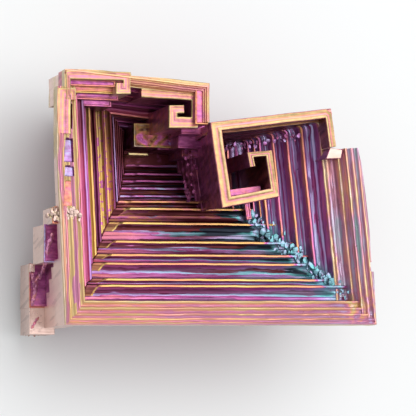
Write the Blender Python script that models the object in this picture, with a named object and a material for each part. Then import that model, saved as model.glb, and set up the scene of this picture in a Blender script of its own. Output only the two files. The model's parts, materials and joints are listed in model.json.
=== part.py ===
# Bismuth hopper crystal: a square-stepped pit with a second, slightly turned
# crystal grown into its back right corner as a square spiral box.
# One intergrown solid, in metres, +Z up, origin under the middle of the base.
import bpy
import bmesh
import math
from mathutils import Vector

MM = 0.001

RIM_HEIGHT = 22.0          # top of the rim above the flat base
FLOOR_HEIGHT = 2.9         # floor of the deepest pit
LIP_WIDTH = 0.45           # raised edge along every terrace
LIP_RISE = 0.16            # how far a terrace is dished below its edge

# Outline of the rim seen from above, anticlockwise.
OUTLINE = [
    (-24.5, -18.5), (25.7, -17.75), (25.25, -9.2), (24.9, -8.0), (24.35, -0.5), (23.3, 7.0),
    (22.8, 9.1), (20.0, 9.0), (19.1, 10.2), (18.5, 15.1), (17.0, 15.25), (-1.0, 12.7),
    (-1.5, 13.1), (-0.95, 18.45), (-13.1, 18.95), (-13.2, 19.58), (-23.2, 19.4),
    (-23.2, 13.8), (-24.5, 12.3),
]

# Flights of terraces. turn: direction in which the flight goes down, degrees about Z.
# crests: (distance along that direction, depth below the rim) of each terrace edge.
FRONT_FLIGHT = dict(turn=90.7, crests=[
    (-17.1, 0.0), (-15.5, 0.8), (-14.5, 1.5), (-12.0, 3.5), (-11.0, 4.5), (-8.5, 6.5),
    (-7.1, 7.7), (-5.0, 9.3), (-2.0, 11.3), (0.4, 13.0), (1.6, 14.0), (2.5, 14.8),
    (3.8, 15.8), (5.0, 16.6), (6.2, 17.6), (7.6, 18.6)])
LEFT_FLIGHT = dict(turn=4.75, crests=[
    (-22.3, 0.05), (-21.0, 0.7), (-20.2, 1.55), (-18.6, 3.4), (-17.9, 4.6), (-16.7, 6.4),
    (-15.9, 7.8), (-15.1, 9.2), (-13.9, 11.2), (-12.5, 12.9), (-12.1, 14.1), (-11.7, 14.9),
    (-11.0, 15.7), (-10.4, 16.7), (-9.7, 17.5), (-9.0, 18.5)])
BACK_FLIGHT = dict(turn=-94.5, crests=[
    (-17.4, 0.1), (-17.0, 0.9), (-16.2, 1.9), (-15.5, 3.2), (-14.9, 5.2), (-14.0, 8.1),
    (-13.5, 11.0), (-13.0, 14.2), (-12.1, 18.3)])
RIGHT_FLIGHT = dict(turn=186.0, crests=[
    (-23.1, 0.15), (-21.6, 1.3), (-18.95, 3.6), (-16.65, 5.6), (-14.9, 7.6), (-13.25, 9.6),
    (-11.4, 10.7), (-10.8, 11.6), (-10.0, 12.5), (-7.0, 13.6)])
TOWER_BACK_FLIGHT = dict(turn=-81.7, crests=[
    (-10.85, 0.2), (-10.25, 3.1), (-9.7, 5.4), (-9.2, 7.3), (-8.7, 9.4), (-8.2, 11.5)])
TOWER_LEFT_FLIGHT = dict(turn=188.3, crests=[
    (-0.95, 0.25), (-0.8, 12.6), (-0.62, 14.3), (-0.45, 15.6), (-0.3, 17.0), (-0.15, 18.2)])

# Undersides: the crystal narrows downwards in steps.
# steps: (distance along the outward direction at which a step's wall stands, its top height)
FRONT_UNDERCUT = dict(turn=-89.3, steps=[
    (17.3, 18.4), (16.3, 16.3), (15.2, 13.8), (14.2, 11.2), (13.0, 8.7), (12.0, 5.9), (10.8, 3.1)])
RIGHT_UNDERCUT = dict(turn=6.0, steps=[
    (22.9, 18.7), (21.6, 16.1), (20.1, 13.4), (18.8, 10.6), (17.2, 8.0), (15.8, 5.2), (14.3, 2.6)])
BACK_UNDERCUT = dict(turn=85.5, steps=[
    (17.1, 17.0), (16.4, 13.2), (15.6, 9.6), (14.7, 6.2), (13.8, 3.0)])
TOWER_BACK_UNDERCUT = dict(turn=98.3, steps=[
    (11.9, 18.9), (11.1, 15.4), (10.2, 11.9), (9.4, 8.3), (8.5, 5.0), (7.6, 2.3)])
LEFT_UNDERCUT = dict(turn=180.0, steps=[
    (23.2, 19.8), (22.2, 17.2), (21.1, 14.5), (20.2, 11.7), (19.1, 8.9), (18.2, 6.0), (17.0, 3.2)])

# Square spiral box of the turned crystal, in its own turned axes (across, back) from its
# front left corner.
TOWER_TURN = 8.3
TOWER_CORNER = (1.0, -0.6)
TOWER_WALL = 1.45
TOWER_WIDTH = 9.1
TOWER_DEPTH = 13.05
TOWER_ARM_TOP = 7.9        # the right arm stops short of the back wall
TOWER_HOLE_DEPTH = 14.5


def clear_scene():
    for item in list(bpy.data.objects):
        bpy.data.objects.remove(item, do_unlink=True)


def make_collection(name):
    group = bpy.data.collections.new(name)
    bpy.context.scene.collection.children.link(group)
    return group


def mesh_from_curve(curve_object, group):
    """Turn a filled curve into a closed mesh object in world axes."""
    bpy.context.view_layer.update()
    graph = bpy.context.evaluated_depsgraph_get()
    mesh = bpy.data.meshes.new_from_object(curve_object.evaluated_get(graph))
    body = bmesh.new()
    body.from_mesh(mesh)
    bmesh.ops.remove_doubles(body, verts=body.verts, dist=0.000005)
    bmesh.ops.recalc_face_normals(body, faces=body.faces)
    body.to_mesh(mesh)
    body.free()
    solid = bpy.data.objects.new(curve_object.name + "_solid", mesh)
    solid.matrix_world = curve_object.matrix_world.copy()
    group.objects.link(solid)
    bpy.data.objects.remove(curve_object, do_unlink=True)
    return solid


def extruded_outline(name, points, thickness, location, rotation, group):
    """A flat outline in millimetres, extruded by half its thickness each way."""
    curve = bpy.data.curves.new(name, "CURVE")
    curve.dimensions = "2D"
    curve.fill_mode = "BOTH"
    curve.extrude = 0.5 * thickness * MM
    spline = curve.splines.new("POLY")
    spline.points.add(len(points) - 1)
    for point, (x, y) in zip(spline.points, points):
        point.co = (x * MM, y * MM, 0.0, 1.0)
    spline.use_cyclic_u = True
    item = bpy.data.objects.new(name, curve)
    item.location = Vector(location) * MM
    item.rotation_euler = rotation
    group.objects.link(item)
    return mesh_from_curve(item, group)


def slab(name, points, low, high, group):
    """A prism standing on a plan outline between two heights."""
    middle = 0.5 * (low + high)
    return extruded_outline(name, points, high - low, (0, 0, middle), (0, 0, 0), group)


def profile_prism(name, profile, turn, start, end, group):
    """Extrude a (distance, height) profile sideways; turn is the profile's own direction.
    start and end are measured to the left of that direction."""
    angle = math.radians(turn)
    side = Vector((-math.sin(angle), math.cos(angle), 0.0))
    place = side * (0.5 * (start + end))
    rotation = (math.radians(90.0), 0.0, angle)
    return extruded_outline(name, profile, end - start, place, rotation, group)


def flight_profile(crests, back):
    """Side view of a flight of terraces with a raised edge on each."""
    points = [(back, -3.0), (back, RIM_HEIGHT - crests[0][1])]
    before = back
    for index, (along, depth) in enumerate(crests):
        height = RIM_HEIGHT - depth
        if index:
            room = along - before
            lip = min(LIP_WIDTH, 0.45 * room)
            dish = min(LIP_RISE, 0.3 * room)
            points.append((before, height - dish))
            points.append((along - lip, height - dish))
            points.append((along - 0.6 * lip, height))
        points.append((along, height))
        before = along
    points.append((before, -3.0))
    return points


def undercut_profile(steps, far):
    """Side view of what is taken away below the rim on one side."""
    points = [(far, -3.0), (far, steps[0][1])]
    for index, (along, height) in enumerate(steps):
        points.append((along, height))
        following = steps[index + 1][1] if index + 1 < len(steps) else -3.0
        points.append((along, following))
    return points


def boolean(target, other, operation):
    modifier = target.modifiers.new(other.name, "BOOLEAN")
    modifier.operation = operation
    modifier.solver = "EXACT"
    modifier.object = other
    other.hide_render = True
    other.display_type = "WIRE"
    bpy.context.view_layer.update()
    graph = bpy.context.evaluated_depsgraph_get()
    mesh = bpy.data.meshes.new_from_object(target.evaluated_get(graph))
    target.modifiers.clear()
    target.data = mesh


def flight(name, data, start, end, group):
    return profile_prism(name, flight_profile(data["crests"], -30.0), data["turn"], start, end, group)


def undercut(name, data, start, end, group):
    return profile_prism(name, undercut_profile(data["steps"], 32.0), data["turn"], start, end, group)


def tower_point(across, back):
    angle = math.radians(TOWER_TURN)
    x = TOWER_CORNER[0] + across * math.cos(angle) - back * math.sin(angle)
    y = TOWER_CORNER[1] + across * math.sin(angle) + back * math.cos(angle)
    return (x, y)


def tower_slab(name, corners, low, high, group):
    return slab(name, [tower_point(*corner) for corner in corners], low, high, group)


def box_corners(x0, y0, x1, y1):
    return [(x0, y0), (x1, y0), (x1, y1), (x0, y1)]


def band_outline(path, width):
    """Outline of a flat band with square corners that follows a path on its left edge."""
    left, right = [], []
    for index, here in enumerate(path):
        here = Vector(here)
        ahead = (Vector(path[index + 1]) - here).normalized() if index + 1 < len(path) else None
        behind = (here - Vector(path[index - 1])).normalized() if index else None
        ahead, behind = ahead or behind, behind or ahead
        side = Vector((ahead.y, -ahead.x)) + Vector((behind.y, -behind.x))
        side /= 1.0 + ahead.dot(behind)
        left.append(tuple(here))
        right.append(tuple(here + side * width))
    return left + right[::-1]


def build_terraces(group):
    """Everything inside the rim: flights that meet wherever one rises above the other."""
    body = flight("front_flight", FRONT_FLIGHT, -30.0, 30.0, group)
    boolean(body, flight("left_flight", LEFT_FLIGHT, -30.0, 30.0, group), "UNION")
    boolean(body, flight("back_flight", BACK_FLIGHT, -30.0, -0.9, group), "UNION")
    boolean(body, flight("right_flight", RIGHT_FLIGHT, -17.0, 30.0, group), "UNION")
    boolean(body, flight("tower_back_flight", TOWER_BACK_FLIGHT, 0.6, 26.0, group), "UNION")
    floor = slab("pit_floor", box_corners(-28, -24, 28, 24), -2.5, FLOOR_HEIGHT, group)
    boolean(body, floor, "UNION")
    return body


def build_tower_block(group):
    """The turned crystal as a solid block with narrow ledges low on its left side."""
    body = tower_slab("tower_block", box_corners(0, 0, TOWER_WIDTH, TOWER_DEPTH - 0.2),
                      -1.5, RIM_HEIGHT - 0.06, group)
    ledge = flight("tower_left_flight", TOWER_LEFT_FLIGHT, -16.0, -0.3, group)
    keep = tower_slab("tower_side", box_corners(-1.2, 0.1, 0.6, TOWER_DEPTH - 0.4), -1.2, 9.6, group)
    boolean(ledge, keep, "INTERSECT")
    boolean(body, ledge, "UNION")
    return body


def hollow_tower(body, group):
    """Open the block into a wall that winds in on itself round a deep square hole."""
    wall, width, depth = TOWER_WALL, TOWER_WIDTH, TOWER_DEPTH
    hole = tower_slab("tower_hole", box_corners(wall, wall, width - wall, depth - wall - 0.3),
                      RIM_HEIGHT - TOWER_HOLE_DEPTH, 26.0, group)
    gap = tower_slab("tower_gap", box_corners(wall + 0.1, TOWER_ARM_TOP, width + 2, depth - wall - 0.35),
                     RIM_HEIGHT - 9.2, 26.5, group)
    boolean(hole, gap, "UNION")
    boolean(body, hole, "DIFFERENCE")
    path = [(wall + 2.35, TOWER_ARM_TOP - 2.6), (wall + 2.35, TOWER_ARM_TOP + 0.05),
            (width - 0.9, TOWER_ARM_TOP + 0.05), (width - 0.9, TOWER_ARM_TOP - 1.3)]
    arm = tower_slab("tower_arm", band_outline(path, 1.15), 3.0, RIM_HEIGHT - 0.15, group)
    boolean(body, arm, "UNION")
    step = tower_slab("tower_step", box_corners(wall - 0.4, wall - 0.4, width - wall + 0.4, wall + 0.9),
                      4.0, RIM_HEIGHT - 6.0, group)
    boolean(body, step, "UNION")


def build_hooks(group):
    """Square hooks and curls on the back and left rims."""
    outlines = [
        ("curl", band_outline([(-13.3, 15.4), (-13.3, 19.5), (-23.1, 19.35), (-23.1, 14.2),
                               (-21.6, 14.1)][::-1], 1.25), 9.0, RIM_HEIGHT),
        ("back_hook", band_outline([(-11.3, 17.0), (-3.0, 16.3), (-3.2, 11.6), (-6.4, 11.8),
                                    (-6.2, 14.2), (-4.7, 14.1)], 1.1), 5.0, RIM_HEIGHT - 1.6),
        ("back_band", box_corners(-2.6, 12.2, -1.7, 18.2), 4.5, RIM_HEIGHT - 0.5),
        ("left_cap", box_corners(-24.7, -3.1, -21.4, -1.6), 15.5, RIM_HEIGHT - 0.03),
        ("left_bar", box_corners(-24.3, 9.3, -21.9, 15.9), 12.5, RIM_HEIGHT - 0.1),
        ("deep_block", box_corners(-7.9, 11.9, -1.4, 13.6), 1.5, 7.4),
    ]
    return [slab(name, points, low, high, group) for name, points, low, high in outlines]


def build_left_blocks(group):
    """The left outside wall: blocks that reach further down and out towards the front."""
    sizes = [
        ("left_block_back", box_corners(-24.85, -3.4, -18.0, -0.8), 14.8, 20.6),
        ("left_block_middle", box_corners(-25.3, -8.95, -17.5, -3.25), 10.4, 17.4),
        ("left_block_front", box_corners(-25.7, -18.9, -20.9, -8.7), 3.6, 9.2),
        ("left_block_wall", box_corners(-25.1, -18.7, -20.4, -8.5), 6.0, 14.2),
        ("foot", box_corners(-25.4, -19.58, -21.6, -15.2), 4.4, 12.1),
        ("base", box_corners(-24.1, -16.9, -12.1, -7.4), -1.0, 5.5),
    ]
    return [slab(name, points, low, high, group) for name, points, low, high in sizes]


def build_crystal(parts, cutters):
    body = build_terraces(cutters)
    boolean(body, slab("rim_outline", OUTLINE, -2.0, 30.0, cutters), "INTERSECT")
    boolean(body, undercut("under_front", FRONT_UNDERCUT, -20.9, 40.0, cutters), "DIFFERENCE")
    boolean(body, undercut("under_right", RIGHT_UNDERCUT, -40.0, 40.0, cutters), "DIFFERENCE")
    boolean(body, undercut("under_back", BACK_UNDERCUT, 2.2, 40.0, cutters), "DIFFERENCE")
    boolean(body, undercut("under_tower_back", TOWER_BACK_UNDERCUT, -40.0, 0.3, cutters), "DIFFERENCE")
    boolean(body, undercut("under_left", LEFT_UNDERCUT, -21.0, 8.6, cutters), "DIFFERENCE")
    boolean(body, build_tower_block(cutters), "UNION")
    hollow_tower(body, cutters)
    for piece in build_hooks(cutters) + build_left_blocks(cutters):
        boolean(body, piece, "UNION")
    boolean(body, slab("trim_base", box_corners(-40, -40, 40, 40), -6.0, 0.0, cutters), "DIFFERENCE")
    body.name = "crystal"
    cutters.objects.unlink(body)
    parts.objects.link(body)
    body.hide_render = False
    body.display_type = "TEXTURED"
    return body


def tidy(item):
    body = bmesh.new()
    body.from_mesh(item.data)
    body.transform(item.matrix_world)
    bmesh.ops.remove_doubles(body, verts=body.verts, dist=0.00001)
    bmesh.ops.dissolve_degenerate(body, edges=body.edges, dist=0.00001)
    bmesh.ops.triangulate(body, faces=body.faces)
    body.to_mesh(item.data)
    body.free()
    item.matrix_world.identity()
    item.location = (0, 0, 0)
    item.rotation_euler = (0, 0, 0)


def bismuth_material():
    material = bpy.data.materials.new("oxidised_bismuth")
    material.use_nodes = True
    shader = material.node_tree.nodes["Principled BSDF"]
    shader.inputs["Base Color"].default_value = (0.62, 0.36, 0.42, 1.0)
    shader.inputs["Metallic"].default_value = 1.0
    shader.inputs["Roughness"].default_value = 0.28
    return material


clear_scene()
part_collection = make_collection("bismuth_hopper_crystal")
cutter_collection = make_collection("cutters")
crystal = build_crystal(part_collection, cutter_collection)
tidy(crystal)
crystal.data.materials.clear()
crystal.data.materials.append(bismuth_material())
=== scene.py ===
import json
import math
import random
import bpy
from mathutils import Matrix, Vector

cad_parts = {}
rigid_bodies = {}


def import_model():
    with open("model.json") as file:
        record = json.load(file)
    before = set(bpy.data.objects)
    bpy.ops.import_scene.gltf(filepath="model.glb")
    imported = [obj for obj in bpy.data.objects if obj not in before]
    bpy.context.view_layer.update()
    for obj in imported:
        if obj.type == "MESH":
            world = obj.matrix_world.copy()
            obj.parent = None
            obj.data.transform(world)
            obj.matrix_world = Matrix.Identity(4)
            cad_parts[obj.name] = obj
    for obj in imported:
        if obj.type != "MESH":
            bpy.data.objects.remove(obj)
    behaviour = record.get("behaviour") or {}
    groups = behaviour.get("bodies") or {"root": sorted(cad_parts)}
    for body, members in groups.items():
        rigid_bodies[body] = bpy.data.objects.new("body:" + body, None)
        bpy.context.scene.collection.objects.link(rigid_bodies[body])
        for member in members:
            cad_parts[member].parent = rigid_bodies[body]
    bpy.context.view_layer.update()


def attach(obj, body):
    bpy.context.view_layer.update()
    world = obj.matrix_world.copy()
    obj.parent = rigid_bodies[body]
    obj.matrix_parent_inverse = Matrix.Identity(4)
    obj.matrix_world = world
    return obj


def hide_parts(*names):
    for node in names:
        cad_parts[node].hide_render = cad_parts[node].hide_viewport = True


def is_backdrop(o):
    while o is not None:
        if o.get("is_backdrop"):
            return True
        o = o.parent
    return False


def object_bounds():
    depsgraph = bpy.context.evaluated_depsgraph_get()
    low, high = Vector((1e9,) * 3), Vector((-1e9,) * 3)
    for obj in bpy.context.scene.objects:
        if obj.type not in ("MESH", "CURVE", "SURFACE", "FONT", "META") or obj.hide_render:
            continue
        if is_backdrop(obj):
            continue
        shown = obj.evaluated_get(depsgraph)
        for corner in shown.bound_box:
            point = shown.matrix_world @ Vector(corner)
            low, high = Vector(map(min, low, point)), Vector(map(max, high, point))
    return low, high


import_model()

from types import SimpleNamespace
import bmesh
import bpy
from mathutils import Matrix, Vector

mm = 0.001
growthSeed = 83         # fixes how the ridges and terraces stray
rimHeight = 22.0        # mm, top of the rim above the floor it stands on
groundTrim = -2.0       # solids run down to here and are cut off at the floor afterwards
seamSum = 8.0           # mm, x + y all along the seam between the two hoppers
# which finish a face takes: that of a flight of terraces, of a plain wall or of the swirled block
toneOf = {"front": 0, "right": 1, "left": 2, "back": 3, "turnedBack": 4, "plain": 5, "swirled": 6}

studio = {
    "target": (-1.2, -0.65, 22.0),       # what the camera looks at, mm
    "leanLeft": 17.0, "leanFront": 5.0,  # how far the view leans from straight down, degrees
    "distance": 400.0, "lens": 230.77,
    "floorColour": (0.82, 0.832, 0.827, 1.0), "floorSize": 3.0,
    "skyColour": (0.97, 0.98, 1.0, 1.0), "skyStrength": 0.70,
    "boxLean": (19.0, 19.0), "boxHeight": 0.75, "boxSize": (0.95, 0.8), "boxPower": 5.4,
}


def makeCamera(s):
    target = Vector(s["target"]) * mm
    back = Vector((-math.tan(math.radians(s["leanLeft"])), -math.tan(math.radians(s["leanFront"])), 1.0))
    back.normalize()
    right = (-back).cross(Vector((0, 1, 0))).normalized()
    up = right.cross(-back)
    data = bpy.data.cameras.new("studioCamera")
    data.lens = s["lens"]
    data.sensor_width = 36.0
    data.clip_start = 0.01
    data.clip_end = 10.0
    camera = bpy.data.objects.new("studioCamera", data)
    bpy.context.scene.collection.objects.link(camera)
    place = target + back * s["distance"] * mm
    camera.matrix_world = Matrix((
        (right.x, up.x, back.x, place.x), (right.y, up.y, back.y, place.y),
        (right.z, up.z, back.z, place.z), (0, 0, 0, 1)))
    bpy.context.scene.camera = camera


def makeFloor(s):
    bpy.ops.mesh.primitive_plane_add(size=s["floorSize"], location=(0, 0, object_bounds()[0][2]))
    floor = bpy.context.object
    floor.name = "studioFloor"
    material = bpy.data.materials.new("paleFloor")
    material.use_nodes = True
    shader = material.node_tree.nodes["Principled BSDF"]
    shader.inputs["Base Color"].default_value = s["floorColour"]
    shader.inputs["Roughness"].default_value = 0.9
    floor.data.materials.append(material)
    floor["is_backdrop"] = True


def makeSky(s):
    world = bpy.data.worlds.new("studioSky")
    bpy.context.scene.world = world
    world.use_nodes = True
    background = world.node_tree.nodes["Background"]
    background.inputs["Strength"].default_value = s["skyStrength"]
    background.inputs["Color"].default_value = s["skyColour"]


def makeSoftBox(s):
    data = bpy.data.lights.new("softBox", "AREA")
    data.shape = "RECTANGLE"
    data.size, data.size_y = s["boxSize"]
    data.energy = s["boxPower"]
    light = bpy.data.objects.new("softBox", data)
    bpy.context.scene.collection.objects.link(light)
    right, back = (math.tan(math.radians(lean)) * s["boxHeight"] for lean in s["boxLean"])
    light.location = (right, back, s["boxHeight"])
    light.rotation_euler = (-light.location).to_track_quat("-Z", "Y").to_euler()


makeCamera(studio)
bpy.context.scene.view_settings.view_transform = "Standard"
print("camera ready")


# Node helpers, for geometry and materials alike.

def feed(tree, socket, value):
    value = getattr(value, "socket", value)
    if hasattr(value, "is_output"):
        tree.links.new(value, socket)
    else:
        socket.default_value = value


def addNode(tree, kind, inputs=None, **settings):
    node = tree.nodes.new(kind)
    for key, value in settings.items():
        setattr(node, key, value)
    for key, value in (inputs or {}).items():
        feed(tree, node.inputs[key], value)
    return node


def fieldOf(tree, kind, inputs=None, output=0, **settings):
    return Field(tree, addNode(tree, kind, inputs, **settings).outputs[output])


class Field:        # what a node puts out; sums and comparisons of fields add the Math nodes for them
    def __init__(self, tree, socket):
        self.tree = tree
        self.socket = socket

    def math(self, operation, *others, clamp=False):
        node = addNode(self.tree, "ShaderNodeMath", operation=operation, use_clamp=clamp)
        for socket, value in zip(node.inputs, (self,) + others):
            feed(self.tree, socket, value)
        return Field(self.tree, node.outputs[0])

    def __add__(self, other):
        return self.math("ADD", other)

    def __sub__(self, other):
        return self.math("SUBTRACT", other)

    def __rsub__(self, other):
        return self.math("MULTIPLY_ADD", -1.0, other)

    def __mul__(self, other):
        return self.math("MULTIPLY", other)

    def __gt__(self, other):
        return self.math("GREATER_THAN", other)

    def __lt__(self, other):
        return self.math("LESS_THAN", other)

    def near(self, other, reach):
        return self.math("COMPARE", other, reach)

    def ranged(self, start, end, low=0.0, high=1.0):        # low at start, high at end, held beyond them
        return fieldOf(self.tree, "ShaderNodeMapRange", {"Value": self, "From Min": start, "From Max": end,
                                                         "To Min": low, "To Max": high})

    def towards(self, other, share, kind="Float"):      # a blend from this field to the other
        return mixOf(self.tree, share, self, other, kind)


def mixOf(tree, share, first, second, kind="Float"):
    node = addNode(tree, "ShaderNodeMix", data_type="RGBA" if kind == "Color" else kind.upper())
    sockets = {socket.identifier: socket for socket in list(node.inputs) + list(node.outputs)}
    for label, value in (("Factor_Float", share), ("A_" + kind, first), ("B_" + kind, second)):
        feed(tree, sockets[label], value)
    return Field(tree, sockets["Result_" + kind])


def vectorOf(tree, operation, *values):
    node = addNode(tree, "ShaderNodeVectorMath", operation=operation)
    for socket, value in zip([s for s in node.inputs if s.type == "VECTOR"], values):
        feed(tree, socket, value)
    return Field(tree, node.outputs["Vector"])


def scaleOf(tree, vector, factor):
    inputs = {"Vector": vector, "Scale": factor}
    return fieldOf(tree, "ShaderNodeVectorMath", inputs, "Vector", operation="SCALE")


def readOf(tree, name, kind="FLOAT"):
    return fieldOf(tree, "GeometryNodeInputNamedAttribute", {"Name": name}, "Attribute", data_type=kind)


def storeAll(tree, geometry, values):
    for name, value in values.items():
        node = addNode(tree, "GeometryNodeStoreNamedAttribute",
                       {"Geometry": geometry, "Name": name}, data_type="FLOAT", domain="CORNER")
        feed(tree, node.inputs["Value"], value)
        geometry = node.outputs["Geometry"]
    return geometry


def arrange(tree):
    for index, node in enumerate(tree.nodes):
        node.location = (190 * (index % 12), -200 * (index // 12))


def newTree(name, sockets):     # sockets: label, and a number, or what kind of thing goes in
    tree = bpy.data.node_groups.new(name, "GeometryNodeTree")
    tree.interface.new_socket("Geometry", in_out="INPUT", socket_type="NodeSocketGeometry")
    for label, value in sockets.items():
        kind = value if isinstance(value, str) else "Float"
        socket = tree.interface.new_socket(label, in_out="INPUT", socket_type="NodeSocket" + kind)
        if kind == "Float":
            socket.default_value = value
    tree.interface.new_socket("Geometry", in_out="OUTPUT", socket_type="NodeSocketGeometry")
    return tree, addNode(tree, "NodeGroupInput").outputs


def finishTree(tree, geometry, material):
    realized = addNode(tree, "GeometryNodeRealizeInstances", {"Geometry": geometry})
    painted = addNode(tree, "GeometryNodeSetMaterial",
                      {"Geometry": realized.outputs[0], "Material": material})
    output = addNode(tree, "NodeGroupOutput")
    tree.links.new(painted.outputs[0], output.inputs[0])
    arrange(tree)
    return tree


def bakeTree(thing, tree, values):
    modifier = thing.modifiers.new(tree.name, "NODES")
    modifier.node_group = tree
    for item in tree.interface.items_tree:
        if item.item_type == "SOCKET" and item.in_out == "INPUT" and item.name in values:
            modifier[item.identifier] = values[item.name]
    bpy.context.view_layer.update()
    graph = bpy.context.evaluated_depsgraph_get()
    mesh = bpy.data.meshes.new_from_object(thing.evaluated_get(graph))
    mesh.validate()     # two faces that weld into one another are left as one
    thing.modifiers.remove(modifier)
    old = thing.data
    thing.data = mesh
    bpy.data.meshes.remove(old)
    return thing


def faceOutwards(thing):
    shape = bmesh.new()
    shape.from_mesh(thing.data)
    # flaps of no thickness: faces whose every edge has an odd number of neighbours
    flaps = [face for face in shape.faces if all(len(edge.link_faces) % 2 for edge in face.edges)]
    if flaps:
        bmesh.ops.delete(shape, geom=flaps, context="FACES")
        shape.to_mesh(thing.data)
    if shape.calc_volume(signed=True) < 0:
        bmesh.ops.reverse_faces(shape, faces=shape.faces)
        shape.to_mesh(thing.data)
    openEdges = sum(1 for edge in shape.edges if len(edge.link_faces) != 2)
    shape.free()
    if openEdges:
        print(thing.name, "has", openEdges, "open edges")
    return thing


workshop = bpy.data.collections.new("workshop")     # building aids, removed at the end
bpy.context.scene.collection.children.link(workshop)


def wireObject(name, points, closed):
    mesh = bpy.data.meshes.new(name)
    count = len(points)
    edges = [(i, i + 1) for i in range(count - 1)] + ([(count - 1, 0)] if closed else [])
    mesh.from_pydata(points, edges, [])
    thing = bpy.data.objects.new(name, mesh)
    workshop.objects.link(thing)
    return thing


def writeValues(mesh, name, values, kind="FLOAT", domain="POINT"):
    layer = mesh.attributes.new(name, kind, domain)
    flat = [c for v in values for c in v] if kind == "FLOAT_VECTOR" else list(values)
    layer.data.foreach_set("vector" if kind == "FLOAT_VECTOR" else "value", flat)


# Mitred sweeps. A path is a chain of straight legs; each lies on a line that faces a plan
# direction (turn) at a distance (off) from the origin. A section is a closed ring of rows,
# and every row has its own off and rise on every line, so no two legs need be alike.

legNames = ("tone", "film", "dark", "along")     # what a leg adds to the finish
rowNames = ("step", "film", "dark", "bands", "lip", "pale")     # what a row adds, lip to its shape
corner = {
    "share": 1.2,           # mm over which neighbouring legs share their heights
    "broken": (1.9, 2.3),   # mm along the front flight over which its lips come up to full height
    "drop": 0.3,            # mm
}


def facing(turn):
    return Vector((math.cos(math.radians(turn)), math.sin(math.radians(turn))))


def meeting(first, second):
    cross = first.x * second.y - first.y * second.x
    return Vector((second.y, -second.x)) / cross, Vector((-first.y, first.x)) / cross


def leg(turn, cuts, tone="plain", film=(0, 0), dark=(0, 0), nearStart=()):
    return {"turn": turn, "cuts": cuts, "tone": toneOf[tone], "film": film, "dark": dark,
            "nearStart": nearStart}


def mixed(pair, t):
    return pair[0] * (1 - t) + pair[1] * t


def sweepPath(name, startTurn, legs, endTurn, radius, guide):
    turns = [startTurn] + [item["turn"] for item in legs] + [endTurn]
    count = len(turns)
    normals = [facing(turn) for turn in turns]
    travel = [Vector((n.y, -n.x)) for n in normals]
    corners = [meeting(normals[i], normals[i + 1]) for i in range(count - 1)]
    points = [c[0] * guide[i] + c[1] * guide[i + 1] for i, c in enumerate(corners)]
    samples = []
    for i, item in enumerate(legs, start=1):
        before, after = corners[i - 1], corners[i]
        isFirst, isLast = i == 1, i == len(legs)
        startRadius = 0.0 if isFirst else radius
        endRadius = 0.0 if isLast else radius
        length = (points[i] - points[i - 1]).length
        near = list(item["nearStart"])
        places = [(0.0, distance) for distance in [0.0] + near[:-1]] if near else []
        places += [(cut / item["cuts"], near[-1] if near else 0.0) for cut in range(item["cuts"] + 1)]
        for t, fromStart in places:
            spans = {i - 1: before[0] * (1 - t), i: before[1] * (1 - t) + after[0] * t, i + 1: after[1] * t}
            base = travel[i] * ((startRadius + fromStart) * (1 - t) - endRadius * t)
            along = mixed((fromStart, length), t)
            toStart = 0.0 if isFirst else max(0.0, 1 - along / corner["share"])
            toEnd = 0.0 if isLast else max(0.0, 1 - (length - along) / corner["share"])
            heights = {i - 1: 0.5 * toStart, i: 1 - 0.5 * toStart - 0.5 * toEnd, i + 1: 0.5 * toEnd}
            share = along / length
            samples.append((spans, base, heights,
                            (item["tone"], mixed(item["film"], share), mixed(item["dark"], share), along)))
        if not isLast and radius:
            for u in (0.33, 0.67):
                base = radius * (travel[i + 1] * u * u - travel[i] * (1 - u) ** 2)
                samples.append(({i: after[0], i + 1: after[1]}, base, {i: 0.5, i + 1: 0.5}, samples[-1][3]))
    path = wireObject(name, [(i * mm, 0, 0) for i in range(len(samples))], False)
    nowhere = Vector((0, 0))
    for line in range(count):
        spans = [s[0].get(line, nowhere).to_3d() for s in samples]
        writeValues(path.data, "span%d" % line, spans, "FLOAT_VECTOR")
        writeValues(path.data, "weight%d" % line, [s[2].get(line, 0.0) for s in samples])
    writeValues(path.data, "base", [(s[1] * mm).to_3d() for s in samples], "FLOAT_VECTOR")
    for index, label in enumerate(legNames):
        writeValues(path.data, "leg_" + label, [float(s[3][index]) for s in samples])
    return path


def row(offs, rises, **values):
    return {"offs": offs, "rises": rises, **dict.fromkeys(rowNames, 0.0), **values}


def sectionRing(name, rows, lines):
    ring = wireObject(name, [(0, r["offs"][1] * mm, r["rises"][1] * mm) for r in rows], True)
    for line in range(lines):
        writeValues(ring.data, "off%d" % line, [r["offs"][line] * mm for r in rows])
        writeValues(ring.data, "rise%d" % line, [r["rises"][line] * mm for r in rows])
    for label in rowNames:
        writeValues(ring.data, "row_" + label, [float(r[label]) for r in rows])
    return ring


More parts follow.
